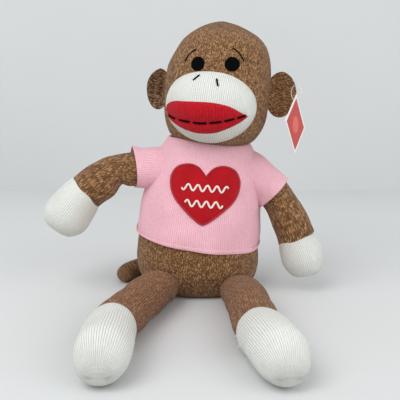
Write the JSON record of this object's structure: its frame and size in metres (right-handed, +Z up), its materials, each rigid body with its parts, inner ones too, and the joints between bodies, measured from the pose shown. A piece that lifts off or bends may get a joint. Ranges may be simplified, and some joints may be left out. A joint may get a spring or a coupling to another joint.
{
  "type": "stuffed sock monkey",
  "caption": "Seated stuffed sock monkey of brown and white knit, in a pink knitted shirt with a red heart.",
  "frame": {"origin": "centre of the flat seat face under the torso", "axes": "+X to the viewer's right, -Y the way the monkey faces, +Z up"},
  "size_m": [0.3525, 0.3498, 0.326],
  "materials": {
    "brown_marl_knit": "matte",
    "white_knit": "matte",
    "pink_rib_knit": "matte",
    "red_knit": "matte",
    "red_velour": "matte",
    "border_thread": "satin",
    "cream_thread": "satin",
    "black_thread": "satin",
    "polyester_filling": "matte",
    "tag_card": "satin",
    "clear_plastic": "satin"
  },
  "bodies": {
    "torso": {"torso_cover": "brown_marl_knit", "torso_stuffing": "polyester_filling", "shirt_front": "pink_rib_knit", "shirt_back": "pink_rib_knit", "shirt_hem": "pink_rib_knit", "shirt_collar": "pink_rib_knit", "heart_patch": "red_velour", "heart_border": "border_thread", "heart_stitching": "cream_thread"},
    "neck": {"neck_cover": "brown_marl_knit", "neck_stuffing": "polyester_filling"},
    "head": {"head_cover": "brown_marl_knit", "head_stuffing": "polyester_filling", "muzzle_cover": "white_knit", "muzzle_stuffing": "polyester_filling", "lips": "red_knit", "mouth_stitches": "black_thread", "nostril_stitches": "black_thread", "eye_left": "black_thread", "eye_right": "black_thread", "brow_left": "black_thread", "brow_right": "black_thread"},
    "ear_left_body": {"ear_left": "brown_marl_knit"},
    "ear_right_body": {"ear_right": "brown_marl_knit", "tag_fastener": "clear_plastic"},
    "tag": {"hang_tag": "tag_card"},
    "upper_arm_left_body": {"upper_arm_left": "brown_marl_knit", "upper_arm_left_stuffing": "polyester_filling", "sleeve_left": "pink_rib_knit", "sleeve_cuff_left": "pink_rib_knit"},
    "forearm_left_body": {"forearm_left": "brown_marl_knit", "forearm_left_stuffing": "polyester_filling", "hand_left": "white_knit"},
    "upper_arm_right_body": {"upper_arm_right": "brown_marl_knit", "upper_arm_right_stuffing": "polyester_filling", "sleeve_right": "pink_rib_knit", "sleeve_cuff_right": "pink_rib_knit"},
    "forearm_right_body": {"forearm_right": "brown_marl_knit", "forearm_right_stuffing": "polyester_filling", "hand_right": "white_knit"},
    "leg_left_body": {"leg_left": "brown_marl_knit", "leg_left_stuffing": "polyester_filling", "foot_left": "white_knit"},
    "leg_right_body": {"leg_right": "brown_marl_knit", "leg_right_stuffing": "polyester_filling", "foot_right": "white_knit"},
    "tail": {"tail_cover": "brown_marl_knit", "tail_stuffing": "polyester_filling"}
  },
  "joints": [
    {"name": "neck_turn", "type": "hinge", "parent": "torso", "child": "neck", "pos_m": [0.01491, -0.002, 0.18941], "axis": [0.0785, 0, 0.9969], "range_deg": [-35, 35]},
    {"name": "neck_nod", "type": "hinge", "parent": "neck", "child": "head", "pos_m": [0.01491, -0.002, 0.18941], "axis": [0.9818, -0.1737, -0.0773], "range_deg": [-8, 8]},
    {"name": "ear_left_flop", "type": "hinge", "parent": "head", "child": "ear_left_body", "pos_m": [-0.03642, 0.00699, 0.25289], "axis": [0.0785, 0, 0.9969], "range_deg": [-10, 10]},
    {"name": "ear_right_flop", "type": "hinge", "parent": "head", "child": "ear_right_body", "pos_m": [0.08855, -0.01511, 0.24305], "axis": [0.0785, 0, 0.9969], "range_deg": [-10, 10]},
    {"name": "tag_swing", "type": "hinge", "parent": "ear_right_body", "child": "tag", "pos_m": [0.11605, -0.03171, 0.23688], "axis": [-0.8746, 0.4848, 0], "range_deg": [-20, 20]},
    {"name": "shoulder_left", "type": "hinge", "parent": "torso", "child": "upper_arm_left_body", "pos_m": [-0.05112, -0.004, 0.15348], "axis": [-0.1392, 0.9903, 0], "range_deg": [-30, 25]},
    {"name": "elbow_left", "type": "hinge", "parent": "upper_arm_left_body", "child": "forearm_left_body", "pos_m": [-0.09073, -0.00957, 0.15348], "axis": [-0.1392, 0.9903, 0], "range_deg": [-10, 36]},
    {"name": "shoulder_right", "type": "hinge", "parent": "torso", "child": "upper_arm_right_body", "pos_m": [0.0745, -0.004, 0.1436], "axis": [-0.1392, -0.9903, 0], "range_deg": [-5, 65]},
    {"name": "elbow_right", "type": "hinge", "parent": "upper_arm_right_body", "child": "forearm_right_body", "pos_m": [0.10393, -0.00814, 0.11683], "axis": [-0.1392, -0.9903, 0], "range_deg": [-12, 24]},
    {"name": "hip_left", "type": "hinge", "parent": "torso", "child": "leg_left_body", "pos_m": [-0.043, -0.056, 0.0275], "axis": [-0.9636, 0.2672, 0], "range_deg": [-45, 12]},
    {"name": "hip_right", "type": "hinge", "parent": "torso", "child": "leg_right_body", "pos_m": [0.049, -0.056, 0.0275], "axis": [-0.9962, -0.0872, 0], "range_deg": [-38, 12]},
    {"name": "tail_swing", "type": "hinge", "parent": "torso", "child": "tail", "pos_m": [-0.01, 0.057, 0.013], "axis": [0, 0, -1], "range_deg": [0, 55]}
  ]
}
